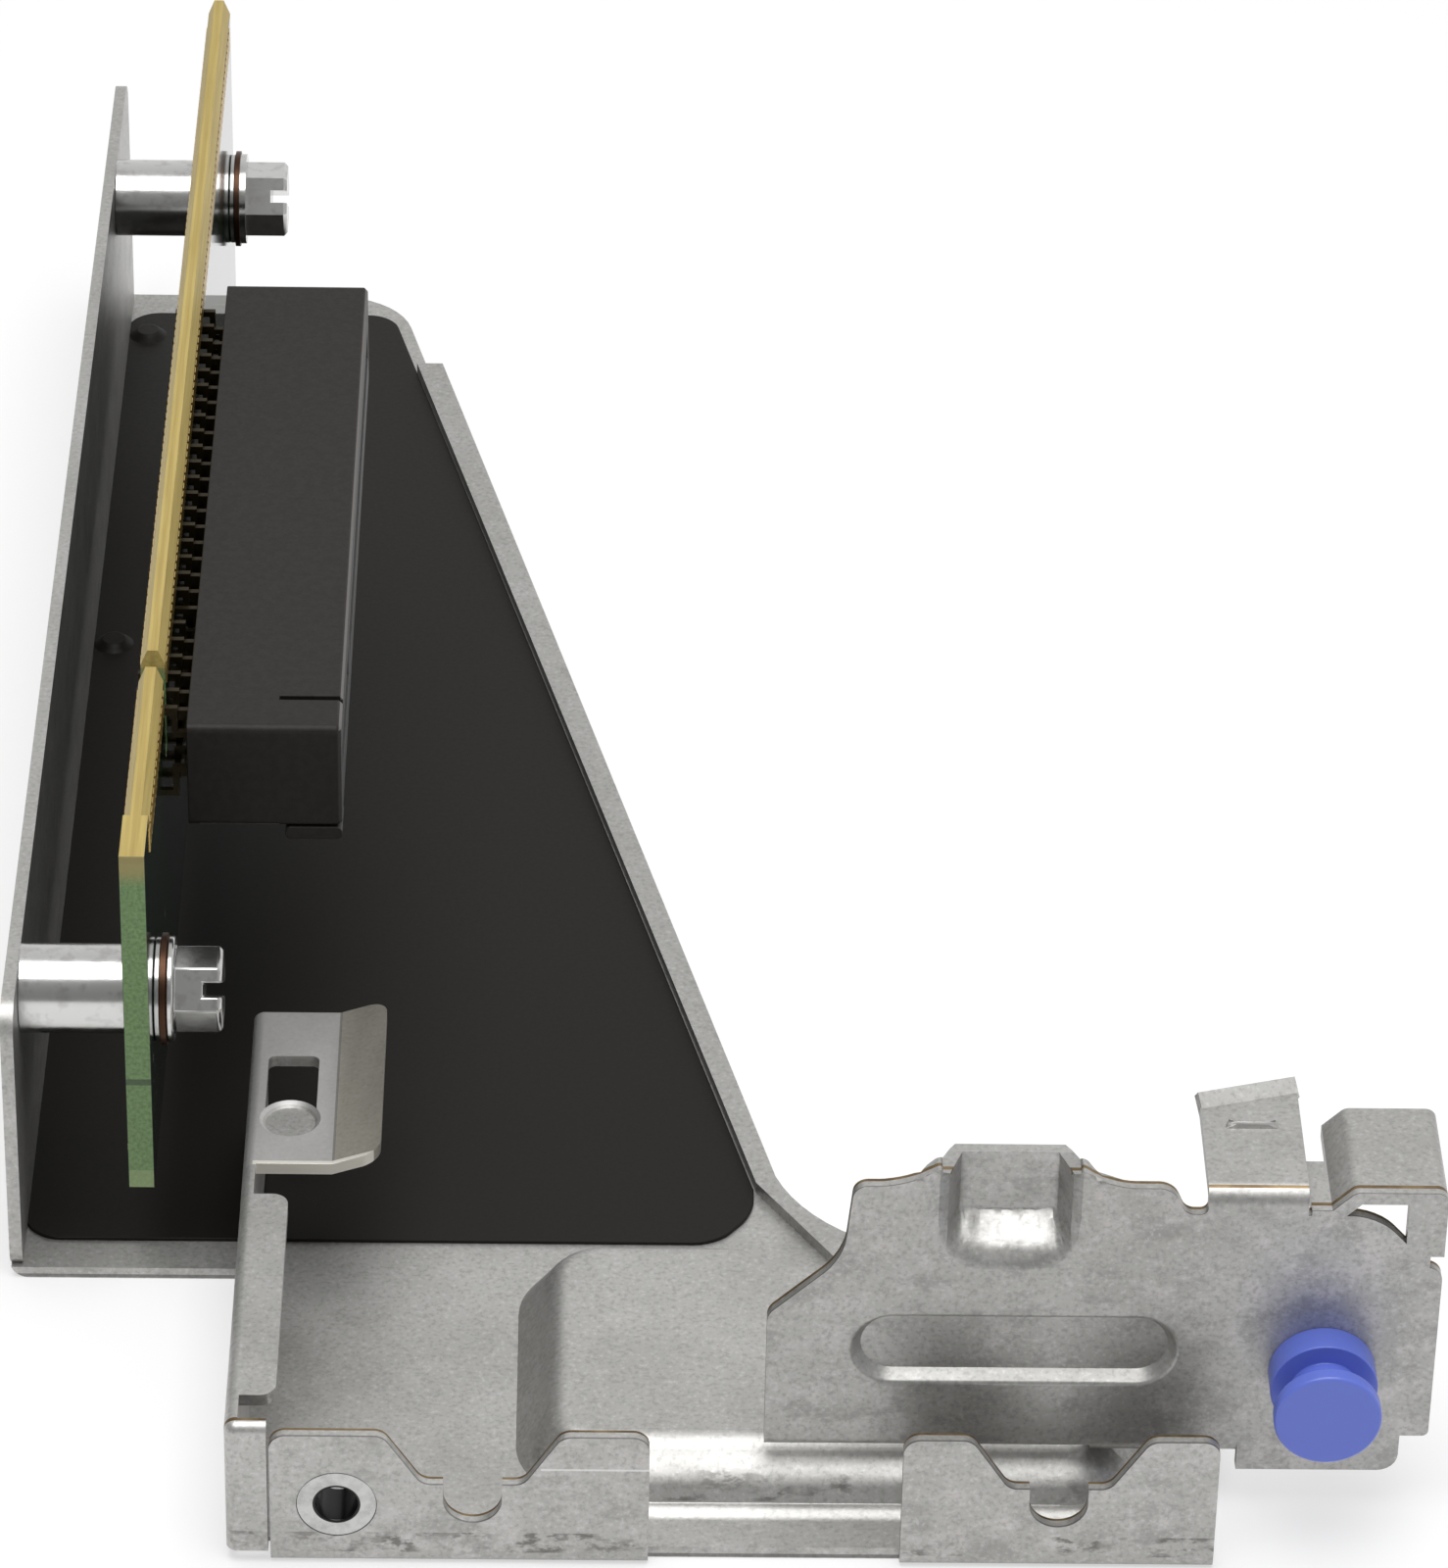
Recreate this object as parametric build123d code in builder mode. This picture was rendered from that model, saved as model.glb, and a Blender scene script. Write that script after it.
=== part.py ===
"""Riser card for a server: an upright edge-connector board held in a folded steel bracket."""
import os
from math import atan, cos, degrees, radians, sin

from build123d import *

os.makedirs("parts", exist_ok=True)

# Frame: X to the right from the component face of the board, Y away from the front
# flanges along the board, Z up from the upper face of the bracket floor. Each piece is
# lifted by one sheet when it is saved, so that the bracket rests on Z = 0.

# Sheet metal
sheet = 0.8
bend_outer = 1.2
flange_bend = 0.7
corner_small = 1.0
side_bend = 0.7
fine = 0.01

# Bracket floor outline
floor_left = -9.2
floor_near = -21.4
floor_far = 101.2
far_corner_radius = 6.0
slant_foot_x = 38.9
slant_foot_y = -12.3
slant_slope = 0.2293
curve_mid_x = 41.3
curve_mid_y = -16.4
curve_end_x = 46.0
curve_end_y = -19.6
arm_overhang = 1.0

# Left wall of the bracket
wall_length = 121.9
wall_height = 19.3
wall_corner = 2.2

# Front channel, flanges and side wall
side_x = 5.6
front_y = -49.0
side_height = 9.5
flange_height = 8.8
left_flange_x = 8.25
left_flange_end = 30.7
left_notch_x = 20.25
right_flange_x = 45.7
right_flange_end = 64.4
right_notch_x = 55.0
dip_top_half = 5.3
dip_foot_half = 3.0
dip_floor = 5.2
notch_radius = 1.75
notch_drop = 1.1
channel_setback = 0.8
return_setback = 2.0
return_bottom = 0.1
return_slit = 0.15

# Raised panel
panel_height = 3.2
panel_left = 25.0
panel_near = -41.8
panel_far = -22.8
panel_right = 58.5
panel_right_depth = 7.0
panel_far_length = 11.2
panel_slope_run = 2.3
panel_corner = 3.0
panel_bend_outer = 1.6
panel_bend_inner = 0.8

# Window tab and lip on the side wall
tab_near = -23.1
tab_far = -7.0
tab_width = 5.5
window_width = 3.2
window_length = 6.6
window_offset = 1.15
window_near = -18.35
window_corner = 0.5
tongue_radius = 1.9
tongue_dish = 0.35
ear_width = 3.0
ear_rise = 1.0
ear_corner = 1.2
lip_width = 2.95
lip_near = -46.0
lip_far = -26.2
side_gap = 0.8

# End bracket
end_y = -43.3
end_left = 37.6
end_right = 77.4
end_bottom = 4.0
end_foot_left = 57.2
end_foot_right = 66.0
dip_bottom = 2.3
dip_right = 75.7
dip_top = 4.95
step_z = 13.7
shoulder_z = 23.2
crown_z = 24.9
low_top_z = 21.35
neck_foot_z = 17.6
plate_corner = 0.8
step_corner = 1.2
cap_corner = 1.3
cap_bend = 0.7
foot_bend = 1.2
rim_round = 0.35
stadium_centre_x = 52.35
stadium_length = 20.2
stadium_z = 11.2
stadium_height = 5.8
press_depth = 0.8
press_taper = 35.0
scoop_x = 51.7
scoop_width = 6.5
scoop_floor_z = 20.2
scoop_foot_z = 18.6
scoop_bowl = 1.1
scoop_depth = 1.2
scoop_top_z = 24.1
arm_width = 1.9
foot_far = -29.0
ramp_far = -25.6
arm_near = -24.0
tab_top = 23.0
strap_left = 63.3
strap_right = 69.2
strap_far_left = -34.7
strap_far_right = -33.0
strap_tip = 1.3
strap_tip_tilt = 40.0
bump_radius = 1.6
bump_rise = 0.5
bump_y = -37.0
cap_left = 71.9
cap_far = -34.8
shelf_drop = 1.3
shelf_left = 69.4
shelf_right = 70.6
shelf_far = -38.4
neck_left = 75.1
neck_right = 76.6
hook_skirt = 4.6

# Insulating film
film_thickness = 0.25
film_wall_gap = 0.7
film_near = -18.6
film_near_x = 37.5
film_near_y = -13.0
film_far_x = 13.4
film_far_y = 90.0
film_far = 98.0
film_corner = 2.4
film_slit = 0.15
pip_x = -6.1
pip_places = (94.6, 50.9)
pip_radius = 1.4
pip_height = 0.5
pip_taper = 50.0

# Riser board
board_thickness = 1.57
board_near = -21.5
board_far = 90.0
board_bottom = 6.4
board_top = 31.2
key_near = -0.3
key_far = 1.6
key_depth = 7.0
edge_near = -17.0
edge_bevel = 0.45
edge_bevel_drop = 1.1
finger_pitch = 1.0
finger_width = 0.7
finger_length = 1.6
finger_setback = 1.2
finger_thickness = 0.05
short_count = 16
long_count = 86

# Fixings between wall and board
fixing_near_y = -15.0
fixing_far_y = 86.0
fixing_z = 16.9
spacer_diameter = 5.6
spacer_neck = 4.2
spacer_bore = 3.2
pad_diameter = 7.0
pad_thickness = 0.35
collar_diameter = 6.5
collar_height = 0.4
screw_shank = 3.0
screw_reach = 5.0
screw_flange_diameter = 6.6
screw_flange_height = 0.45
screw_head_width = 4.7
screw_head_turn = 25.0
screw_head_bevel = 0.25
screw_slot_turn = 55.0
screw_head_height = 3.0
screw_slot = 0.9
screw_slot_depth = 1.2

# Slot connector
slot_near = -3.0
slot_length = 56.0
slot_thickness = 7.5
slot_top = 28.5
slot_standoff = 1.5
slot_mouth_x = 11.2
cavity_width = 1.9
cavity_depth = 8.0
cavity_end = 1.8
key_rib_y = 11.5
key_rib_width = 1.7
pocket_width = 0.7
pocket_height = 0.55
mouth_chamfer = 0.5
slit_y = 0.5
slit_length = 4.0
slit_width = 0.45
slit_depth = 0.9
foot_length = 3.6
foot_drop = 0.9
foot_round = 0.4
foot_depth = 3.0
pin_pitch = 1.0
pin_width = 0.4
short_pins = 11
key_skip = 2
long_pins = 38
blade_length = 6.8
tail_even = 2.3
tail_odd = 3.1
tail_stagger = 0.7
tail_reach = 0.35
tail_hole = 0.6

# Press nut and knob
nut_x = 12.2
nut_z = 3.7
nut_diameter = 5.6
nut_seat = 4.8
nut_bore = 2.5
nut_length = 2.2
knob_x = 70.7
knob_z = 9.9
knob_diameter = 6.4
knob_neck = 4.0
knob_back_disc = 1.9
knob_length = 4.9
knob_front_disc = 1.0
knob_round = 0.25
stud_diameter = 2.4
stud_head = 4.4
stud_head_height = 0.7
stud_reach = 3.0

# Values worked out from the sizes above
wall_inner = floor_left + sheet
slope_angle = degrees(atan(panel_slope_run / panel_height))
slope_wall = sheet / sin(radians(90 - slope_angle))
tab_left = side_x
tab_right = side_x + tab_width
end_back = end_y + sheet
slot_z = slot_top - slot_thickness / 2
slot_depth = slot_mouth_x - slot_standoff
short_run = [i * pin_pitch for i in range(short_pins)]
long_start = (short_pins + key_skip) * pin_pitch
pin_places = short_run + [long_start + i * pin_pitch for i in range(long_pins)]
fixing_places = {"near": fixing_near_y, "far": fixing_far_y}


def slant_x(y):
    """X of the slanted right edge of the floor at a given Y."""
    return slant_foot_x - (y - slant_foot_y) * slant_slope


def save(part, name):
    """Label a finished piece and write it."""
    lifted = part.moved(Location((0, 0, sheet)))
    lifted.label = name
    export_step(lifted, f"parts/{name}.step")


def flange(left, right, notch_x):
    """Sketch an upright front flange with its dipped top and round notch."""
    with BuildSketch(Plane.XZ.offset(-front_y)) as outline:
        with BuildLine():
            Polyline(
                (left, -sheet),
                (left, flange_height),
                (notch_x - dip_top_half, flange_height),
                (notch_x - dip_foot_half, dip_floor),
                (notch_x + dip_foot_half, dip_floor),
                (notch_x + dip_top_half, flange_height),
                (right, flange_height),
                (right, -sheet),
                (left, -sheet),
            )
        make_face()
        fillet(outline.vertices().group_by(Axis.Z)[-1], corner_small)
        with Locations((notch_x, dip_floor - notch_drop)):
            Circle(notch_radius, mode=Mode.SUBTRACT)
            Rectangle(
                2 * notch_radius,
                dip_floor,
                align=(Align.CENTER, Align.MIN),
                mode=Mode.SUBTRACT,
            )
    return outline.sketch


def scoop_outline(y, width, foot_z, bowl):
    """Outline of the crown's scoop at a given Y, open-topped and round at its foot."""
    left, right = scoop_x - width / 2, scoop_x + width / 2
    with BuildSketch(Plane.XZ.offset(-y)) as outline:
        with BuildLine():
            Polyline((left, foot_z), (left, crown_z + 1), (right, crown_z + 1), (right, foot_z))
            ThreePointArc((right, foot_z), (scoop_x, foot_z - bowl), (left, foot_z))
        make_face()
    return outline.sketch.face()


# Window tab: a flat top with a window, a rolled-down tongue and a raised ear
with BuildPart() as window_tab:
    with BuildSketch(Plane.XZ.offset(-tab_near)):
        with BuildLine():
            Polyline(
                (tab_left, side_height - sheet),
                (tab_right, side_height - sheet),
                (tab_right + ear_width, side_height - sheet + ear_rise),
                (tab_right + ear_width, side_height + ear_rise),
                (tab_right, side_height),
                (tab_left, side_height),
                (tab_left, side_height - sheet),
            )
        make_face()
    extrude(amount=tab_near - tab_far)
    fillet(window_tab.edges().filter_by(Axis.Z).group_by(Axis.X)[-1], ear_corner)
    with BuildSketch(Plane.XY.offset(side_height - sheet)) as window:
        with Locations((tab_left + window_offset, window_near)):
            Rectangle(window_width, window_length, align=(Align.MIN, Align.MIN))
        fillet(window.vertices(), window_corner)
    extrude(amount=sheet, mode=Mode.SUBTRACT)
    with Locations((tab_left + window_offset + window_width / 2, window_near, side_height)):
        Cylinder(
            tongue_radius,
            sheet,
            align=(Align.CENTER, Align.CENTER, Align.MAX),
        )
        Cone(
            tongue_radius - tongue_dish,
            tongue_radius,
            tongue_dish,
            align=(Align.CENTER, Align.CENTER, Align.MAX),
            mode=Mode.SUBTRACT,
        )

left_flange = flange(left_flange_x, left_flange_end, left_notch_x)
right_flange = flange(right_flange_x, right_flange_end, right_notch_x)

# Bracket tray: floor, left wall, raised panel, front flanges and side wall in one sheet
with BuildPart() as bracket_tray:
    with BuildSketch(Plane.XY.offset(-sheet)) as floor_outline:
        with BuildLine():
            Polyline(
                (curve_end_x - arm_overhang, curve_end_y - arm_overhang),
                (right_flange_end, curve_end_y - arm_overhang),
                (right_flange_end, front_y),
                (side_x, front_y),
                (side_x, floor_near),
                (floor_left, floor_near),
                (floor_left, floor_far),
                (slant_x(floor_far) - arm_overhang, floor_far),
                (slant_foot_x - arm_overhang, slant_foot_y),
            )
            ThreePointArc(
                (slant_foot_x - arm_overhang, slant_foot_y),
                (curve_mid_x - arm_overhang, curve_mid_y - arm_overhang / 2),
                (curve_end_x - arm_overhang, curve_end_y - arm_overhang),
            )
        make_face()
        fillet(
            floor_outline.vertices().group_by(Axis.Y)[-1].sort_by(Axis.X)[-1],
            far_corner_radius,
        )
    extrude(amount=sheet)

    with BuildSketch(Plane.YZ.offset(floor_left)) as wall_outline:
        with Locations((floor_near, -sheet)):
            Rectangle(wall_length, wall_height + sheet, align=(Align.MIN, Align.MIN))
        fillet(wall_outline.vertices().group_by(Axis.Z)[-1], wall_corner)
    extrude(amount=sheet)
    left_bend = bracket_tray.edges().filter_by(Axis.Y).group_by(Axis.X)[0]
    fillet(left_bend.group_by(Axis.Z)[0], bend_outer)

    with BuildSketch(Plane.XY) as panel_foot:
        with BuildLine():
            Polyline(
                (panel_left, panel_near),
                (panel_right, panel_near),
                (panel_right, panel_near + panel_right_depth),
                (panel_left + panel_far_length, panel_far),
                (panel_left, panel_far),
                (panel_left, panel_near),
            )
        make_face()
        fillet(panel_foot.vertices(), panel_corner)
        offset(amount=panel_slope_run, kind=Kind.ARC)
    extrude(amount=panel_height, taper=slope_angle)
    with BuildSketch(Plane.XY.offset(-sheet)):
        add(panel_foot.sketch.moved(Location((0, 0, -sheet))))
        offset(amount=sheet * panel_slope_run / panel_height - slope_wall)
    extrude(amount=panel_height, taper=slope_angle, mode=Mode.SUBTRACT)
    panel_top = bracket_tray.edges().filter_by_position(
        Axis.Z, panel_height - fine, panel_height + fine
    )
    fillet(panel_top, panel_bend_outer)
    panel_under = bracket_tray.edges().filter_by_position(
        Axis.Z, panel_height - sheet - fine, panel_height - sheet + fine
    )
    fillet(panel_under, panel_bend_inner)

    extrude(left_flange, amount=-sheet)
    extrude(right_flange, amount=-sheet)
    with BuildSketch(Plane.XZ.offset(-front_y)):
        with Locations((left_flange_end, -sheet)):
            Rectangle(
                right_flange_x - left_flange_end,
                sheet,
                align=(Align.MIN, Align.MIN),
            )
    extrude(amount=-channel_setback, mode=Mode.SUBTRACT)
    with BuildSketch(Plane.XY.offset(-sheet)):
        with Locations((side_x, front_y)):
            Rectangle(
                left_flange_x - side_x,
                return_setback,
                align=(Align.MIN, Align.MIN),
            )
    extrude(amount=sheet, mode=Mode.SUBTRACT)
    front_bends = bracket_tray.edges().filter_by(Axis.X).group_by(Axis.Y)[0]
    fillet(front_bends.group_by(Axis.Z)[0], flange_bend)

    with BuildSketch(Plane.YZ.offset(side_x)):
        with BuildLine():
            Polyline(
                (front_y, return_bottom),
                (front_y + return_setback, return_bottom),
                (front_y + return_setback, -sheet),
                (floor_near, -sheet),
                (floor_near, side_gap),
                (tab_far, side_gap),
                (tab_far, side_height),
                (front_y, side_height),
                (front_y, return_bottom),
            )
        make_face()
    extrude(amount=sheet)
    with BuildSketch(Plane.XZ.offset(-front_y)) as return_outline:
        with Locations((side_x, return_bottom)):
            Rectangle(
                left_flange_x - side_x - return_slit,
                side_height - return_bottom,
                align=(Align.MIN, Align.MIN),
            )
    extrude(amount=-sheet)
    with BuildSketch(Plane.XY.offset(side_height - sheet)) as lip_outline:
        with Locations((side_x, lip_near)):
            Rectangle(lip_width, lip_far - lip_near, align=(Align.MIN, Align.MIN))
        fillet(lip_outline.vertices().group_by(Axis.X)[-1], corner_small)
    extrude(amount=sheet)
    add(window_tab.part)
    upright = bracket_tray.edges().filter_by(Axis.Z)
    return_bends = upright.filter_by_position(Axis.X, side_x - fine, side_x + fine)
    fillet(return_bends.group_by(Axis.Y)[0], side_bend)
    along = bracket_tray.edges().filter_by(Axis.Y)
    side_tops = along.filter_by_position(Axis.X, side_x - fine, side_x + fine)
    fillet(side_tops.group_by(Axis.Z)[-1], side_bend)

    with BuildSketch(Plane.YZ.offset(floor_left)):
        with Locations(*((y, fixing_z) for y in fixing_places.values())):
            Circle(spacer_neck / 2)
    extrude(amount=sheet, mode=Mode.SUBTRACT)
    with BuildSketch(Plane.XZ.offset(-front_y)):
        with Locations((nut_x, nut_z)):
            Circle(nut_seat / 2)
    extrude(amount=-sheet, mode=Mode.SUBTRACT)

save(bracket_tray.part, "bracket_tray")

# End bracket: upright plate with its foot, arm, strap tab and hooked cap in one sheet
with BuildPart() as end_bracket:
    with BuildSketch(Plane.XZ.offset(-end_y)) as end_outline:
        with BuildLine():
            Polyline(
                (end_left, end_bottom),
                (end_left, step_z),
                (end_left + 4.4, step_z + 4.2),
                (end_left + 4.9, shoulder_z),
                (end_left + 7.6, shoulder_z),
                (end_left + 10.8, crown_z),
                (end_left + 17.4, crown_z),
                (end_left + 20.2, shoulder_z),
                (end_left + 23.6, shoulder_z),
                (end_left + 24.4, low_top_z),
                (neck_left - 1.8, low_top_z),
                (neck_left, low_top_z - 2.0),
                (neck_left + 0.4, neck_foot_z),
                (end_right, neck_foot_z),
                (end_right, dip_top),
                (dip_right, dip_top),
                (dip_right, dip_bottom),
                (end_foot_right, dip_bottom),
                (end_foot_right, panel_height),
                (end_foot_left, panel_height),
                (end_foot_left, end_bottom),
                (end_left, end_bottom),
            )
        make_face()
        crown_points = end_outline.vertices().filter_by_position(
            Axis.Z, step_z + 1, crown_z + 1
        )
        fillet(
            crown_points.filter_by_position(Axis.X, end_left, end_left + 24),
            plate_corner,
        )
        fillet(
            end_outline.vertices().group_by(Axis.Z)[0].sort_by(Axis.X)[-1],
            corner_small,
        )
        fillet(
            end_outline.vertices().group_by(Axis.X)[0].sort_by(Axis.Z)[-1],
            step_corner,
        )
        neck_points = end_outline.vertices().filter_by_position(
            Axis.X, neck_left - 2.0, neck_left + fine
        )
        fillet(
            neck_points.filter_by_position(Axis.Z, neck_foot_z + 1, low_top_z + fine),
            corner_small,
        )
    extrude(amount=-sheet)

    # Stadium pressed away from the front
    with BuildSketch(Plane.XZ.offset(-end_y)) as stadium:
        with Locations((stadium_centre_x, stadium_z)):
            SlotOverall(stadium_length, stadium_height)
    extrude(amount=-(sheet + press_depth), taper=press_taper / 3)
    with BuildSketch(Plane.XZ.offset(-end_y)):
        add(stadium.sketch)
        offset(amount=-press_depth / 2)
    extrude(amount=-press_depth, taper=press_taper, mode=Mode.SUBTRACT)

    # Scoop at the crown, set back with a bowl-shaped slope at its foot
    scoop_back = end_back + scoop_depth
    loft([
        scoop_outline(end_back, scoop_width + 2 * sheet, scoop_foot_z - sheet, scoop_bowl),
        scoop_outline(scoop_back, scoop_width, scoop_floor_z - sheet, scoop_bowl / 4),
    ])
    scoop_face = end_y + scoop_depth
    loft(
        [
            scoop_outline(end_y, scoop_width + sheet, scoop_foot_z, scoop_bowl),
            scoop_outline(scoop_face, scoop_width - sheet, scoop_floor_z, scoop_bowl / 4),
        ],
        mode=Mode.SUBTRACT,
    )
    with BuildSketch(Plane.XZ.offset(-end_y)):
        with Locations((scoop_x, scoop_top_z)):
            Rectangle(
                scoop_width + 2 * sheet,
                crown_z,
                align=(Align.CENTER, Align.MIN),
            )
    extrude(amount=-(scoop_depth + 2 * sheet), mode=Mode.SUBTRACT)

    face_edges = end_bracket.edges().filter_by_position(Axis.Y, end_y - fine, end_y + fine)
    half_length = stadium_length / 2 + fine
    stadium_rim = face_edges.filter_by_position(
        Axis.X, stadium_centre_x - half_length, stadium_centre_x + half_length
    ).filter_by_position(Axis.Z, stadium_z - stadium_height, stadium_z + stadium_height)
    fillet(stadium_rim, rim_round)

    # Foot, ramp and arm that lie on the tray behind the plate
    with BuildSketch(Plane.YZ.offset(end_foot_left)):
        with BuildLine():
            Polyline(
                (end_y, panel_height),
                (foot_far, panel_height),
                (ramp_far, 0),
                (arm_near + arm_width, 0),
                (arm_near + arm_width, sheet),
                (ramp_far + sheet / 2, sheet),
                (foot_far + sheet / 2, panel_height + sheet),
                (end_back, panel_height + sheet),
                (end_y, panel_height + sheet),
                (end_y, panel_height),
            )
        make_face()
    extrude(amount=right_flange_end - end_foot_left)
    with BuildSketch(Plane.XY):
        with BuildLine():
            Polyline(
                (curve_end_x, curve_end_y),
                (right_flange_end, curve_end_y - arm_width / 2),
                (right_flange_end, arm_near),
                (curve_end_x - 1.5, arm_near),
                (film_near_x + film_slit, film_near_y),
                (film_far_x + film_slit, film_far_y - film_slit),
                (slant_x(film_far_y - film_slit), film_far_y - film_slit),
                (slant_foot_x, slant_foot_y),
            )
            ThreePointArc(
                (slant_foot_x, slant_foot_y),
                (curve_mid_x, curve_mid_y),
                (curve_end_x, curve_end_y),
            )
        make_face()
    extrude(amount=sheet)

    # Strap tab over the top of the plate, with a tilted tip and a pressed half-moon
    with BuildSketch(Plane.XY.offset(tab_top - sheet)):
        with BuildLine():
            Polyline(
                (strap_left, end_y),
                (strap_right, end_y),
                (strap_right, strap_far_right),
                (strap_left, strap_far_left),
                (strap_left, end_y),
            )
        make_face()
    extrude(amount=sheet)
    with BuildSketch(Plane.XZ.offset(-end_y)):
        with Locations((strap_left, low_top_z - sheet)):
            Rectangle(
                strap_right - strap_left,
                tab_top - low_top_z + sheet,
                align=(Align.MIN, Align.MIN),
            )
    extrude(amount=-sheet)
    strap_slant = atan((strap_far_right - strap_far_left) / (strap_right - strap_left))
    tip_tilt = radians(strap_tip_tilt)
    tip_plane = Plane(
        origin=(strap_left, strap_far_left, tab_top - sheet),
        x_dir=(cos(strap_slant), sin(strap_slant), 0),
        z_dir=(
            sin(strap_slant) * sin(tip_tilt),
            -cos(strap_slant) * sin(tip_tilt),
            cos(tip_tilt),
        ),
    )
    with BuildSketch(tip_plane):
        Rectangle(
            (strap_right - strap_left) / cos(strap_slant),
            strap_tip,
            align=(Align.MIN, Align.MIN),
        )
    extrude(amount=sheet)
    with BuildSketch(Plane.XY.offset(tab_top)):
        with Locations(((strap_left + strap_right) / 2, bump_y)):
            Circle(bump_radius)
            Rectangle(
                2 * bump_radius,
                bump_radius,
                align=(Align.CENTER, Align.MIN),
                mode=Mode.INTERSECT,
            )
    extrude(amount=bump_rise, taper=press_taper / 2)
    strap_bend = end_bracket.edges().filter_by(Axis.X).filter_by_position(
        Axis.Z, tab_top - 0.01, tab_top + 0.01
    )
    fillet(strap_bend.group_by(Axis.Y)[0], bend_outer)

    # Hooked cap with its stepped shelf, side skirt and neck
    with BuildSketch(Plane.XZ.offset(-end_y)):
        with BuildLine():
            Polyline(
                (shelf_left, tab_top - shelf_drop - sheet),
                (shelf_right + sheet / 2, tab_top - shelf_drop - sheet),
                (cap_left + sheet / 2, tab_top - sheet),
                (end_right - sheet, tab_top - sheet),
                (end_right - sheet, tab_top - hook_skirt),
                (end_right, tab_top - hook_skirt),
                (end_right, tab_top),
                (cap_left, tab_top),
                (shelf_right, tab_top - shelf_drop),
                (shelf_left, tab_top - shelf_drop),
                (shelf_left, tab_top - shelf_drop - sheet),
            )
        make_face()
    extrude(amount=end_y - cap_far)
    with BuildSketch(Plane.XZ.offset(-shelf_far)):
        with Locations((shelf_left, tab_top - shelf_drop - sheet)):
            Rectangle(
                shelf_right - shelf_left,
                2 * sheet,
                align=(Align.MIN, Align.MIN),
            )
    extrude(amount=shelf_far - cap_far, mode=Mode.SUBTRACT)
    with BuildSketch(Plane.XZ.offset(-end_y)):
        with Locations((neck_left, low_top_z - 4)):
            Rectangle(
                neck_right - neck_left,
                tab_top - low_top_z + 4 - sheet,
                align=(Align.MIN, Align.MIN),
            )
    extrude(amount=-sheet)

    cap_edges = end_bracket.edges().filter_by_position(Axis.Z, tab_top - fine, tab_top + fine)
    cap_sides = cap_edges.filter_by(Axis.Y).sort_by(Axis.X)
    fillet(cap_sides[-2:], cap_bend)
    foot_front = end_bracket.edges().filter_by(Axis.X).filter_by_position(
        Axis.Z, panel_height - fine, panel_height + fine
    )
    fillet(foot_front.group_by(Axis.Y)[0].sort_by(Axis.X)[0], foot_bend)

    with BuildSketch(Plane.XZ.offset(-end_y)):
        with Locations((knob_x, knob_z)):
            Circle(stud_diameter / 2)
    extrude(amount=-sheet, mode=Mode.SUBTRACT)

save(end_bracket.part, "end_bracket")

# Insulating film on the floor
with BuildPart() as floor_film:
    with BuildSketch(Plane.XY) as film_outline:
        with BuildLine():
            Polyline(
                (wall_inner + film_wall_gap, film_near),
                (film_near_x - film_corner, film_near),
                (film_near_x, film_near_y - film_corner),
                (film_near_x, film_near_y),
                (film_far_x, film_far_y),
                (film_far_x - (film_far - film_far_y) * slant_slope, film_far),
                (wall_inner + film_wall_gap, film_far),
                (wall_inner + film_wall_gap, film_near),
            )
        make_face()
        fillet(film_outline.vertices().group_by(Axis.Y)[-1], film_corner)
        fillet(
            film_outline.vertices().group_by(Axis.Y)[0].sort_by(Axis.X)[0],
            film_corner,
        )
    extrude(amount=film_thickness)
    with BuildSketch(Plane.XY.offset(film_thickness)):
        with Locations(*((pip_x, y) for y in pip_places)):
            Circle(pip_radius)
    extrude(amount=pip_height, taper=pip_taper)

save(floor_film.part, "floor_film")

# Riser board with its bevelled finger edge, key notch and fixing holes
with BuildPart() as riser_board:
    with BuildSketch(Plane.YZ) as board_outline:
        with Locations((board_near, board_bottom)):
            Rectangle(
                board_far - board_near,
                board_top - board_bottom,
                align=(Align.MIN, Align.MIN),
            )
        with Locations((key_near, board_top)):
            Rectangle(
                key_far - key_near,
                key_depth,
                align=(Align.MIN, Align.MAX),
                mode=Mode.SUBTRACT,
            )
    extrude(amount=-board_thickness)
    with BuildSketch(Plane.XZ.offset(-edge_near)):
        for face_x, inward in ((0, -1), (-board_thickness, 1)):
            with BuildLine():
                Polyline(
                    (face_x, board_top),
                    (face_x, board_top - edge_bevel_drop),
                    (face_x + inward * edge_bevel, board_top),
                    (face_x, board_top),
                )
            make_face()
    extrude(amount=edge_near - board_far, mode=Mode.SUBTRACT)
    with BuildSketch(Plane.YZ):
        with Locations(*((y, fixing_z) for y in fixing_places.values())):
            Circle(spacer_neck / 2)
        for index, y in enumerate(pin_places):
            reach = tail_even if index % 2 else tail_odd
            with Locations((y, slot_z - reach), (y, slot_z + reach)):
                Rectangle(tail_hole, tail_hole)
    extrude(amount=-board_thickness, mode=Mode.SUBTRACT)

save(riser_board.part, "riser_board")

# Contact fingers on both faces of the board edge
finger_rows = [edge_near + (i + 0.5) * finger_pitch for i in range(short_count)]
finger_rows += [key_far + (i + 1) * finger_pitch for i in range(long_count)]
with BuildPart() as edge_fingers:
    for face_x, direction in ((0, 1), (-board_thickness, -1)):
        with BuildSketch(Plane.YZ.offset(face_x)):
            with Locations(*((y, board_top - finger_setback) for y in finger_rows)):
                Rectangle(
                    finger_width,
                    finger_length,
                    align=(Align.CENTER, Align.MAX),
                )
        extrude(amount=direction * finger_thickness)

save(edge_fingers.part, "edge_fingers")

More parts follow.
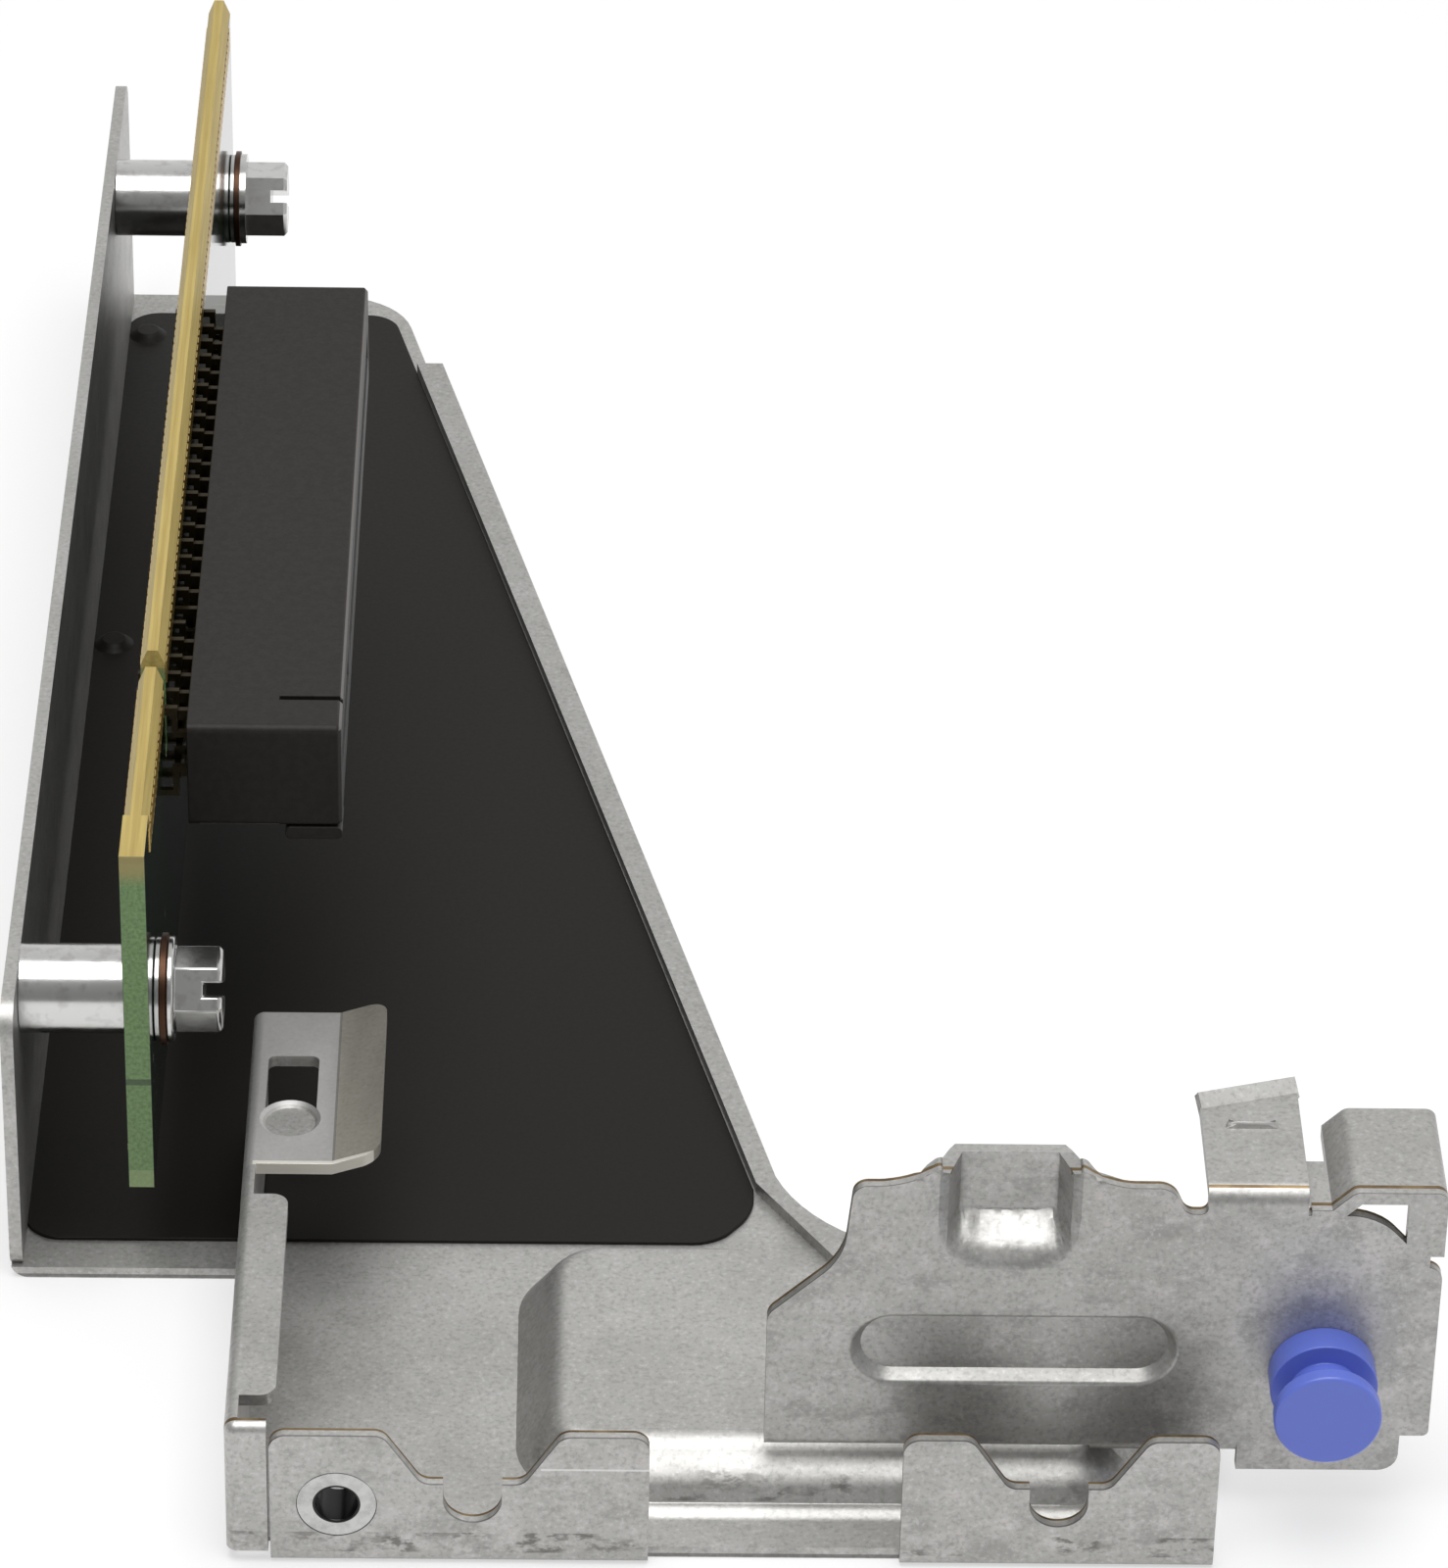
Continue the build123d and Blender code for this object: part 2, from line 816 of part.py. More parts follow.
# Housing of the card slot, with its cavity, key rib and contact pockets
with BuildPart() as slot_housing:
    with BuildSketch(Plane.YZ.offset(slot_standoff)):
        with Locations((slot_near, slot_z)):
            Rectangle(slot_length, slot_thickness, align=(Align.MIN, Align.CENTER))
    extrude(amount=slot_depth)
    fillet(slot_housing.edges().filter_by(Axis.X), mouth_chamfer)
    with BuildSketch(Plane.YZ.offset(slot_mouth_x)):
        with Locations((slot_near + cavity_end, slot_z)):
            Rectangle(
                slot_length - 2 * cavity_end,
                cavity_width,
                align=(Align.MIN, Align.CENTER),
            )
        with Locations((key_rib_y, slot_z)):
            Rectangle(key_rib_width, cavity_width, mode=Mode.SUBTRACT)
    extrude(amount=-cavity_depth, mode=Mode.SUBTRACT)
    mouth_edges = slot_housing.faces().sort_by(Axis.X)[-1].edges()
    chamfer(mouth_edges.filter_by_position(Axis.Z, slot_z - 1, slot_z + 1), mouth_chamfer / 2)
    with BuildSketch(Plane.XY.offset(slot_top)):
        with Locations((slot_mouth_x, slit_y)):
            Rectangle(slit_length, slit_width, align=(Align.MAX, Align.CENTER))
    extrude(amount=-slit_depth, mode=Mode.SUBTRACT)
    with BuildSketch(Plane.XZ.offset(-slot_near)) as end_foot:
        with Locations((slot_mouth_x, slot_top - slot_thickness)):
            Rectangle(foot_length, foot_drop, align=(Align.MAX, Align.MAX))
        fillet(end_foot.vertices().group_by(Axis.Z)[0], foot_round)
    extrude(amount=-foot_depth)
    pocket_z = cavity_width / 2 + pocket_height / 2
    with BuildSketch(Plane.YZ.offset(slot_standoff)):
        for side in (-1, 1):
            with Locations(*((y, slot_z + side * pocket_z) for y in pin_places)):
                Rectangle(pocket_width, pocket_height)
    extrude(amount=slot_depth - 2 * mouth_chamfer, mode=Mode.SUBTRACT)

save(slot_housing.part, "slot_housing")

# Contacts of the slot, each a blade in its pocket and a tail through the board
with BuildPart() as slot_contacts:
    for side in (-1, 1):
        blade_z = slot_z + side * (cavity_width / 2 + pocket_height - pin_width / 2)
        with BuildSketch(Plane.YZ.offset(slot_standoff)):
            with Locations(*((y, blade_z) for y in pin_places)):
                Rectangle(pin_width, pin_width)
        extrude(amount=blade_length)
        for start, reach, rise in ((0, tail_odd, 0), (1, tail_even, tail_stagger)):
            places = pin_places[start::2]
            drop_x = slot_standoff - pin_width - tail_stagger + rise
            with BuildSketch(Plane.YZ.offset(drop_x)):
                tall = reach + pin_width / 2 - (cavity_width / 2 + pocket_height - pin_width)
                middle = slot_z + side * (reach + pin_width / 2 - tall / 2)
                with Locations(*((y, middle) for y in places)):
                    Rectangle(pin_width, tall)
            extrude(amount=pin_width)
            with BuildSketch(Plane.YZ.offset(drop_x)):
                with Locations(*((y, blade_z) for y in places)):
                    Rectangle(pin_width, pin_width)
            extrude(amount=slot_standoff - drop_x)
            with BuildSketch(Plane.YZ.offset(drop_x)):
                with Locations(*((y, slot_z + side * reach) for y in places)):
                    Rectangle(pin_width, pin_width)
            extrude(amount=-(drop_x + board_thickness + tail_reach))

save(slot_contacts.part, "slot_contacts")

# Fixings: swaged spacer, screw and copper pad at each end of the board
for place, fixing_y in fixing_places.items():
    axis_plane = Plane(
        origin=(0, fixing_y, fixing_z),
        x_dir=(0, 1, 0),
        z_dir=(1, 0, 0),
    )
    with BuildPart() as spacer:
        with BuildSketch(axis_plane.offset(wall_inner)):
            Circle(spacer_diameter / 2)
        extrude(amount=-wall_inner - board_thickness)
        with BuildSketch(axis_plane.offset(floor_left)):
            Circle(spacer_neck / 2)
        extrude(amount=-floor_left)
        with BuildSketch(axis_plane):
            Circle(collar_diameter / 2)
        extrude(amount=collar_height)
        with BuildSketch(axis_plane.offset(floor_left)):
            Circle(spacer_bore / 2)
        extrude(amount=collar_height - floor_left, mode=Mode.SUBTRACT)
    save(spacer.part, f"spacer_{place}")

    with BuildPart() as pad:
        with BuildSketch(axis_plane.offset(collar_height)):
            Circle(pad_diameter / 2)
            Circle(spacer_bore / 2, mode=Mode.SUBTRACT)
        extrude(amount=pad_thickness)
    save(pad.part, f"copper_pad_{place}")

    flange_x = collar_height + pad_thickness
    head_x = flange_x + screw_flange_height
    with BuildPart() as screw:
        with BuildSketch(axis_plane.offset(flange_x)):
            Circle(screw_flange_diameter / 2)
        extrude(amount=screw_flange_height)
        with BuildSketch(axis_plane.offset(head_x)):
            RegularPolygon(
                screw_head_width / 2,
                6,
                major_radius=False,
                rotation=screw_head_turn,
            )
        extrude(amount=screw_head_height)
        chamfer(screw.edges().group_by(Axis.X)[-1], screw_head_bevel)
        with BuildSketch(axis_plane.offset(head_x + screw_head_height)):
            Rectangle(screw_head_width * 2, screw_slot, rotation=screw_slot_turn)
        extrude(amount=-screw_slot_depth, mode=Mode.SUBTRACT)
        with BuildSketch(axis_plane.offset(flange_x)):
            Circle(screw_shank / 2)
        extrude(amount=-(screw_reach + flange_x))
    save(screw.part, f"screw_{place}")

# Press nut in the left flange
with BuildPart() as press_nut:
    with BuildSketch(Plane.XZ.offset(-front_y)):
        with Locations((nut_x, nut_z)):
            Circle(nut_seat / 2)
            Circle(nut_bore / 2, mode=Mode.SUBTRACT)
    extrude(amount=-sheet)
    with BuildSketch(Plane.XZ.offset(-front_y - sheet)):
        with Locations((nut_x, nut_z)):
            Circle(nut_diameter / 2)
            Circle(nut_bore / 2, mode=Mode.SUBTRACT)
    extrude(amount=-nut_length)

save(press_nut.part, "press_nut")

# Knob and the stud that holds it on the end plate
with BuildPart() as knob:
    with BuildSketch(Plane.XZ.offset(-end_y)):
        with Locations((knob_x, knob_z)):
            Circle(knob_diameter / 2)
    extrude(amount=knob_back_disc)
    with BuildSketch(Plane.XZ.offset(-end_y + knob_back_disc)):
        with Locations((knob_x, knob_z)):
            Circle(knob_neck / 2)
    extrude(amount=knob_length - knob_back_disc - knob_front_disc)
    with BuildSketch(Plane.XZ.offset(-end_y + knob_length - knob_front_disc)):
        with Locations((knob_x, knob_z)):
            Circle(knob_diameter / 2)
    extrude(amount=knob_front_disc)
    fillet(knob.edges().filter_by(GeomType.CIRCLE).group_by(Axis.Y)[0], knob_round)
    with BuildSketch(Plane.XZ.offset(-end_y)):
        with Locations((knob_x, knob_z)):
            Circle(stud_diameter / 2)
    extrude(amount=stud_reach, mode=Mode.SUBTRACT)

save(knob.part, "knob")

with BuildPart() as knob_stud:
    with BuildSketch(Plane.XZ.offset(-end_back)):
        with Locations((knob_x, knob_z)):
            Circle(stud_head / 2)
    extrude(amount=-stud_head_height)
    with BuildSketch(Plane.XZ.offset(-end_back)):
        with Locations((knob_x, knob_z)):
            Circle(stud_diameter / 2)
    extrude(amount=sheet + stud_reach)

save(knob_stud.part, "knob_stud")
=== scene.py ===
"""Looks of the riser card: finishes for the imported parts, studio light and the camera."""
from math import pi, radians

import bpy
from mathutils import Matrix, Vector


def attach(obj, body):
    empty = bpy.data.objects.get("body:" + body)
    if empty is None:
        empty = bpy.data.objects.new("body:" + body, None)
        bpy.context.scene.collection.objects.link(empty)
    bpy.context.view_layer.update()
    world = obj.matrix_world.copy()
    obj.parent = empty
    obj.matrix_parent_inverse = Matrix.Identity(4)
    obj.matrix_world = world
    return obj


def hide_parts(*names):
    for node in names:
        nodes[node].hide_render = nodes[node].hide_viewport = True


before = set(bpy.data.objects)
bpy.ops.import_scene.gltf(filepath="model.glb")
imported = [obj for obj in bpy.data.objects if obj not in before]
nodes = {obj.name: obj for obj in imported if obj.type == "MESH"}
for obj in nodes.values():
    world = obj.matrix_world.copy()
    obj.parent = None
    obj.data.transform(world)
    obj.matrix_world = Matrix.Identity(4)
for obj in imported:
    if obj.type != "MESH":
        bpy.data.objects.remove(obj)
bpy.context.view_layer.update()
bpy.ops.object.select_all(action="DESELECT")

MM = 0.001

# Places on the object and sizes, in mm along the frame's axes

FAR = 1000.0
SHEET = 0.8
FLOOR_TOP = SHEET
FLANGE_FRONT = -49.0
FLANGE_BACK = FLANGE_FRONT + SHEET
FLANGE_TOP = 12.0
PANEL_LEFT = 27.0
SLOPE_FOOT = -47.0
SLOPE_MIDDLE = -44.3
SLOPE_HEAD = -41.0
PLATE_FRONT = -43.3
PLATE_BACK = PLATE_FRONT + SHEET
TAB_NEAR = -23.1
TAB_FAR = -7.0
TAB_TOP = 10.3
TAB_CREASE = 11.25
TAB_TIP = 14.5
TAB_HEIGHTS = (9.4, 11.5)
SCOOP_MIDDLE = 51.7
SCOOP_LOW = (46.3, -43.6, 17.3)
SCOOP_HIGH = (57.1, -40.0, 24.7)
BOARD_MIDDLE = -0.785
BOARD_SKIN = 0.765
BOARD_NEAR = -21.5
BOARD_TOP = 32.0
FINGER_BAND = 1.3
TRACE_PITCH = 1.0
PAD_SPACING = 3.2
NUT_BORE = (12.2, 4.5)
NUT_BORE_RADIUS = 1.42


# Building blocks of the finishes

def finish(name, color, roughness, metallic=0.0):
    """Start a material and hand back the handles that its details hang on."""
    material = bpy.data.materials.new(name)
    material.use_nodes = True
    tree = material.node_tree
    shader = tree.nodes["Principled BSDF"]
    shader.inputs["Base Color"].default_value = (*color, 1)
    shader.inputs["Roughness"].default_value = roughness
    shader.inputs["Metallic"].default_value = metallic
    return material, tree, shader


def computed(tree, operation, first, second=0):
    """One step of arithmetic; each side is a link or a number."""
    step = tree.nodes.new("ShaderNodeMath")
    step.operation = operation
    for socket, value in zip(step.inputs, (first, second)):
        if isinstance(value, (int, float)):
            socket.default_value = value
        else:
            tree.links.new(value, socket)
    return step.outputs["Value"]


def product(tree, first, *others):
    """All the values multiplied together."""
    for other in others:
        first = computed(tree, "MULTIPLY", first, other)
    return first


def place_in(tree, stretch=(1, 1, 1)):
    """Object coordinates, stretched along the axes where a pattern runs long."""
    coordinates = tree.nodes.new("ShaderNodeTexCoord")
    mapping = tree.nodes.new("ShaderNodeMapping")
    mapping.inputs["Scale"].default_value = stretch
    tree.links.new(coordinates.outputs["Object"], mapping.inputs["Vector"])
    return mapping.outputs["Vector"]


def one_axis(tree, source, axis):
    """One axis of the coordinates that a source such as Object or Normal gives."""
    coordinates = tree.nodes.new("ShaderNodeTexCoord")
    split = tree.nodes.new("ShaderNodeSeparateXYZ")
    tree.links.new(coordinates.outputs[source], split.inputs["Vector"])
    return split.outputs[axis]


def distance_along(tree, axis):
    """One object coordinate in millimetres, as a value."""
    return product(tree, one_axis(tree, "Object", axis), 1 / MM)


def facing(tree, axis):
    """How far the surface turns along one axis, 0 to 1."""
    return computed(tree, "ABSOLUTE", one_axis(tree, "Normal", axis))


def within(tree, value, low, high):
    """1 where the value lies between low and high, else 0."""
    above = computed(tree, "GREATER_THAN", value, low)
    below = computed(tree, "LESS_THAN", value, high)
    return product(tree, above, below)


def in_bands(tree, bands):
    """1 where each named axis lies in its band of mm, else 0."""
    return product(tree, *(
        within(tree, distance_along(tree, axis), *band) for axis, band in bands.items()
    ))


def eased(tree, value, low, high):
    """A smooth step from 0 at low to 1 at high."""
    step = tree.nodes.new("ShaderNodeMapRange")
    step.interpolation_type = "SMOOTHSTEP"
    step.inputs["From Min"].default_value = low
    step.inputs["From Max"].default_value = high
    tree.links.new(value, step.inputs["Value"])
    return step.outputs["Result"]


def between(tree, value, low, high):
    """Map 0 to 1 onto low to high."""
    scaler = tree.nodes.new("ShaderNodeMapRange")
    scaler.inputs["To Min"].default_value = low
    scaler.inputs["To Max"].default_value = high
    tree.links.new(value, scaler.inputs["Value"])
    return scaler.outputs["Result"]


def speckle(tree, size_mm, detail=4.0, stretch=(1, 1, 1), rough=0.55):
    """Soft noise whose blotches are about size_mm across."""
    noise = tree.nodes.new("ShaderNodeTexNoise")
    noise.inputs["Scale"].default_value = 1 / (size_mm * MM)
    noise.inputs["Detail"].default_value = detail
    noise.inputs["Roughness"].default_value = rough
    tree.links.new(place_in(tree, stretch), noise.inputs["Vector"])
    return noise.outputs["Fac"]


def graded(tree, value, *stops):
    """Turn a value into colours; a stop is a place from 0 to 1 and its colour."""
    ramp = tree.nodes.new("ShaderNodeValToRGB")
    for element, (place, color) in zip(ramp.color_ramp.elements, stops):
        element.position = place
        element.color = (*color, 1)
    tree.links.new(value, ramp.inputs["Fac"])
    return ramp.outputs["Color"]


def levels(tree, value, *stops):
    """Turn a value into a share; a stop is a place from 0 to 1 and the share there."""
    return graded(tree, value, *((place, (share, share, share)) for place, share in stops))


def mixed(tree, share, first, second):
    """Blend two colours by a share."""
    mix = tree.nodes.new("ShaderNodeMix")
    mix.data_type = "RGBA"
    tree.links.new(share, mix.inputs["Factor"])
    for name, value in (("A", first), ("B", second)):
        socket = next(s for s in mix.inputs if s.name == name and s.type == "RGBA")
        if isinstance(value, tuple):
            socket.default_value = (*value, 1)
        else:
            tree.links.new(value, socket)
    return next(s for s in mix.outputs if s.type == "RGBA")


def laid_over(material, share, color):
    """Lay one more colour over a finished material."""
    tree = material.node_tree
    base = tree.nodes["Principled BSDF"].inputs["Base Color"]
    tree.links.new(mixed(tree, share, base.links[0].from_socket, color), base)


def roughened(tree, shader, pattern, low, high):
    """Let the roughness follow a pattern between two levels."""
    tree.links.new(between(tree, pattern, low, high), shader.inputs["Roughness"])


def raised(tree, shader, pattern, strength, depth_mm):
    """Give the surface a fine relief."""
    bump = tree.nodes.new("ShaderNodeBump")
    bump.inputs["Strength"].default_value = strength
    bump.inputs["Distance"].default_value = depth_mm * MM
    tree.links.new(pattern, bump.inputs["Height"])
    tree.links.new(bump.outputs["Normal"], shader.inputs["Normal"])
    return bump


# Galvanised sheet

def zinc_grey(tone, warmth=1.0):
    """A grey that turns brown as warmth rises."""
    return (tone, tone * (1 - 0.012 * warmth), tone * (1 - 0.05 * warmth))


def sheared(tree, slabs):
    """1 in each slab where the face runs along the slab's axis, as a cut face does."""
    found = 0.0
    for axis, bands in slabs:
        edge_on = computed(tree, "LESS_THAN", facing(tree, axis), 0.45)
        here = product(tree, in_bands(tree, bands), edge_on)
        found = computed(tree, "MAXIMUM", found, here)
    return found


def galvanised(name, tone, burrs, shadow_lines, relief):
    """Zinc-coated sheet: grey with pale blotches, faint dark specks, brown burrs and painted
    shadow lines on given rims.
    """
    material, tree, shader = finish(name, (tone, tone, tone), 0.4, 0.78)
    upright = computed(tree, "SUBTRACT", 1.0, facing(tree, "Z"))
    marked = between(tree, upright, 0.25, 1.0)
    blotch = speckle(tree, 2.0, 5.0, rough=0.68)
    patch = speckle(tree, 3.4, 6.0, (1.0, 1.0, 1.7), 0.7)
    grain = speckle(tree, 0.3, 2.0)
    pale = product(tree, levels(tree, blotch, (0.5, 0.0), (0.64, 0.5)), marked)
    dark = product(tree, levels(tree, patch, (0.36, 0.55), (0.48, 0.0)), marked)
    specks = levels(tree, grain, (0.34, 0.5), (0.47, 0.0))
    glints = levels(tree, grain, (0.58, 0.0), (0.7, 0.4))
    brown = graded(
        tree, speckle(tree, 1.5, 3.0), (0.36, (0.13, 0.085, 0.04)), (0.62, (0.25, 0.18, 0.095))
    )
    base = graded(
        tree, speckle(tree, 9.0, 3.0),
        (0.36, zinc_grey(tone * 0.93)), (0.64, zinc_grey(tone * 1.06, 0.8)),
    )
    for share, color in (
        (pale, (tone * 1.36, tone * 1.29, tone * 1.27)),
        (dark, zinc_grey(tone * 0.66)),
        (specks, zinc_grey(tone * 0.66)),
        (glints, zinc_grey(tone * 1.45, 0.3)),
        (sheared(tree, burrs), brown),
        # painted shadow: a dark line laid over the cut faces in the given rim slabs
        (product(tree, sheared(tree, shadow_lines), 0.6), (0.07, 0.068, 0.062)),
    ):
        base = mixed(tree, share, base, color)
    tree.links.new(base, shader.inputs["Base Color"])
    roughened(tree, shader, speckle(tree, 1.2, 4.0, (0.16, 0.16, 1.0)), 0.38, 0.5)
    fine = raised(tree, shader, grain, 0.16, 0.03)
    swell = tree.nodes.new("ShaderNodeBump")
    swell.inputs["Distance"].default_value = MM
    tree.links.new(relief(tree), swell.inputs["Height"])
    tree.links.new(swell.outputs["Normal"], fine.inputs["Normal"])
    return material


def scuffed(material, low, high):
    """Dark rubbed scratches in a band of height on the front face of the flanges."""
    tree = material.node_tree
    scratch = speckle(tree, 0.7, 3.0, (0.45, 1.0, 1.0), 0.7)
    share = product(
        tree, in_bands(tree, {"Z": (low, high)}), facing(tree, "Y"),
        levels(tree, scratch, (0.48, 0.0), (0.58, 0.7)),
        levels(tree, speckle(tree, 3.0, 2.0), (0.45, 0.0), (0.6, 1.0)),
    )
    laid_over(material, share, (0.1, 0.095, 0.085))


def touched(material, bands, color, strength):
    """Tint the surface inside a box, whose bands are in mm."""
    tree = material.node_tree
    laid_over(material, product(tree, in_bands(tree, bands), strength), color)


def tray_relief(tree):
    """Relief in mm that widens the two bends of the panel's front slope."""
    roll_fall, foot_rise = -0.8, 0.5
    along = distance_along(tree, "Y")
    up = distance_along(tree, "Z")
    roll = product(
        tree, eased(tree, up, 1.6, 4.3), roll_fall,
        within(tree, along, SLOPE_MIDDLE, SLOPE_HEAD),
    )
    foot = product(
        tree, eased(tree, along, -45.8, -44.2), foot_rise,
        within(tree, along, SLOPE_FOOT, SLOPE_MIDDLE),
        within(tree, up, FLOOR_TOP - 0.3, FLOOR_TOP + 0.5),
    )
    on_panel = computed(tree, "GREATER_THAN", distance_along(tree, "X"), PANEL_LEFT)
    return product(tree, computed(tree, "ADD", roll, foot), on_panel)


def plate_relief(tree):
    """Relief in mm that deepens the bowl at the foot of the crown's scoop."""
    half_width, foot_height, drop = 4.2, 21.8, 3.8
    flat_share, depth_mm = 0.25, 0.7
    off_middle = computed(tree, "SUBTRACT", distance_along(tree, "X"), SCOOP_MIDDLE)
    across = computed(tree, "ABSOLUTE", computed(tree, "DIVIDE", off_middle, half_width))
    below = computed(tree, "SUBTRACT", foot_height, distance_along(tree, "Z"))
    below = computed(tree, "MAXIMUM", computed(tree, "DIVIDE", below, drop), 0)
    squares = computed(
        tree, "ADD", computed(tree, "POWER", across, 4.0), product(tree, below, below)
    )
    depth = tree.nodes.new("ShaderNodeMapRange")
    depth.inputs["From Min"].default_value = flat_share
    depth.inputs["To Min"].default_value = -depth_mm
    depth.inputs["To Max"].default_value = 0.0
    tree.links.new(computed(tree, "SQRT", squares), depth.inputs["Value"])
    on_plate = computed(tree, "LESS_THAN", distance_along(tree, "Y"), PLATE_BACK + 1.5)
    return product(tree, depth.outputs["Result"], on_plate)


def tray_steel():
    """The tray's sheet, with painted light and shade on its window tab, a scratch line on a flange
    and painted shadow lines on its cut rims.
    """
    above_floor = (FLOOR_TOP + 0.1, FLANGE_TOP)
    material = galvanised("tray_steel", 0.45, [
        ("Y", {"Y": (FLANGE_BACK - 0.2, FLANGE_BACK + 0.1), "Z": above_floor}),
    ], [
        # painted shadow lines: the front rim of the flanges' top cut faces, and the lowest part of
        # upright faces just above the floor
        ("Y", {"Y": (FLANGE_FRONT - 0.05, FLANGE_FRONT + 0.15), "Z": above_floor}),
        ("Z", {"Z": (0.05, 0.3), "Y": (FLANGE_BACK - 0.1, FAR)}),
    ], tray_relief)
    scuffed(material, 0.9, 2.4)
    on_tab = (TAB_NEAR - 0.1, TAB_FAR + 0.1)
    # painted light: the tab's upward top is made lighter for the light falling on it
    lit_tab_top = {"X": (5.5, 11.2), "Y": on_tab, "Z": (TAB_TOP - 0.2, TAB_TOP + 0.2)}
    # painted shade: the sloped ear is darkened to a brownish grey
    shaded_ear = {"X": (TAB_CREASE, TAB_TIP), "Y": on_tab, "Z": TAB_HEIGHTS}
    # painted shade: a dark band along the crease between the tab's top and its ear
    shaded_crease = {"X": (11.1, TAB_CREASE), "Y": on_tab, "Z": (TAB_TOP - 0.2, TAB_TOP + 0.3)}
    on_flange = (FLANGE_FRONT - 0.2, FLANGE_FRONT + 0.1)
    flange_line = {"X": (24.3, 30.8), "Y": on_flange, "Z": (7.15, 7.3)}
    # painted highlight: a near-white band along the rolled near rim of the window tab
    near_rim_highlight = {"X": (6.2, TAB_TIP), "Y": (TAB_NEAR - 0.1, TAB_NEAR + 0.3), "Z": TAB_HEIGHTS}
    touched(material, lit_tab_top, (0.62, 0.61, 0.6), 0.6)
    touched(material, shaded_ear, (0.36, 0.33, 0.25), 0.55)
    touched(material, shaded_crease, (0.16, 0.15, 0.13), 0.6)
    touched(material, flange_line, (0.75, 0.75, 0.74), 0.7)
    touched(material, near_rim_highlight, (0.95, 0.92, 0.84), 0.95)
    return material


def plate_steel():
    """The end bracket's sheet."""
    any_height = (0.0, FAR)
    return galvanised("plate_steel", 0.42, [
        ("Y", {"Y": (PLATE_BACK - 0.25, PLATE_BACK + 0.05), "Z": any_height}),
    ], [
        # painted shadow line on the front rim of the plate's cut faces
        ("Y", {"Y": (PLATE_FRONT - 0.05, PLATE_FRONT + 0.1), "Z": any_height}),
    ], plate_relief)


# Film and board

def insulating_film():
    """Satin near-black film with a fine weave."""
    material, tree, shader = finish("insulating_film", (0.0062, 0.0048, 0.0034), 0.45)
    shader.inputs["Specular IOR Level"].default_value = 0.2
    weave = speckle(tree, 0.35, 2.0)
    roughened(tree, shader, weave, 0.4, 0.55)
    raised(tree, shader, weave, 0.06, 0.02)
    return material


def solder_mask(tree, along, up):
    """Dark green with upright traces under the fingers and a few small pads."""
    mask = graded(
        tree, speckle(tree, 3.0, 4.0), (0.35, (0.003, 0.011, 0.006)), (0.65, (0.006, 0.02, 0.011))
    )
    wave = computed(tree, "SINE", product(tree, along, 2 * pi / TRACE_PITCH))
    traces = product(
        tree, computed(tree, "GREATER_THAN", wave, 0.6), within(tree, up, 22.0, 30.6), 0.6
    )
    mask = mixed(tree, traces, mask, (0.012, 0.04, 0.02))
    cells = tree.nodes.new("ShaderNodeTexVoronoi")
    cells.inputs["Scale"].default_value = 1 / (PAD_SPACING * MM)
    cells.inputs["Randomness"].default_value = 0.85
    tree.links.new(place_in(tree), cells.inputs["Vector"])
    pads = computed(tree, "LESS_THAN", cells.outputs["Distance"], 0.11)
    pads = product(tree, pads, within(tree, up, 8.0, 28.0), 0.8)
    return mixed(tree, pads, mask, (0.36, 0.37, 0.3))


def cut_laminate(tree, along, up, off_middle):
    """The board's cut edges: yellow fibres along the finger edge, green elsewhere."""
    yellow = graded(
        tree, speckle(tree, 0.3, 3.0, (1.0, 0.04, 1.0)),
        (0.35, (0.37, 0.275, 0.075)), (0.62, (0.45, 0.345, 0.105)),
    )
    core_line = computed(tree, "LESS_THAN", off_middle, 0.14)
    yellow = mixed(tree, product(tree, core_line, 0.35), yellow, (0.3, 0.2, 0.045))
    green = graded(
        tree, speckle(tree, 0.25, 3.0), (0.35, (0.1, 0.17, 0.06)), (0.65, (0.16, 0.27, 0.11))
    )
    scores = computed(
        tree, "MAXIMUM", within(tree, up, 15.0, 15.45), within(tree, up, 31.5, 31.9)
    )
    for share, color in (
        (product(tree, scores, 0.75), (0.035, 0.055, 0.03)),
        (product(tree, within(tree, up, 7.0, 8.5), 0.45), (0.3, 0.36, 0.18)),
        (product(tree, eased(tree, up, 29.6, 31.2), 0.85), (0.3, 0.24, 0.085)),
    ):
        green = mixed(tree, share, green, color)
    in_fingers = computed(tree, "GREATER_THAN", up, BOARD_TOP - FINGER_BAND)
    near_face = computed(tree, "LESS_THAN", along, BOARD_NEAR + 0.05)
    return mixed(tree, near_face, mixed(tree, in_fingers, green, yellow), green)


def board_laminate():
    """Gloss solder mask on the faces and bare laminate on the cut edges."""
    material, tree, shader = finish("board_laminate", (0.004, 0.014, 0.008), 0.1)
    along = distance_along(tree, "Y")
    up = distance_along(tree, "Z")
    off_middle = computed(
        tree, "ABSOLUTE", computed(tree, "SUBTRACT", distance_along(tree, "X"), BOARD_MIDDLE)
    )
    on_edge = computed(tree, "LESS_THAN", off_middle, BOARD_SKIN)
    faces = solder_mask(tree, along, up)
    edges = cut_laminate(tree, along, up, off_middle)
    tree.links.new(mixed(tree, on_edge, faces, edges), shader.inputs["Base Color"])
    roughened(tree, shader, on_edge, 0.08, 0.55)
    return material


def gold_plate():
    """Gold of the edge fingers."""
    material, tree, shader = finish("gold_plate", (0.62, 0.43, 0.14), 0.28, 1.0)
    roughened(tree, shader, speckle(tree, 0.4), 0.2, 0.4)
    return material


# Slot, fixings and knob

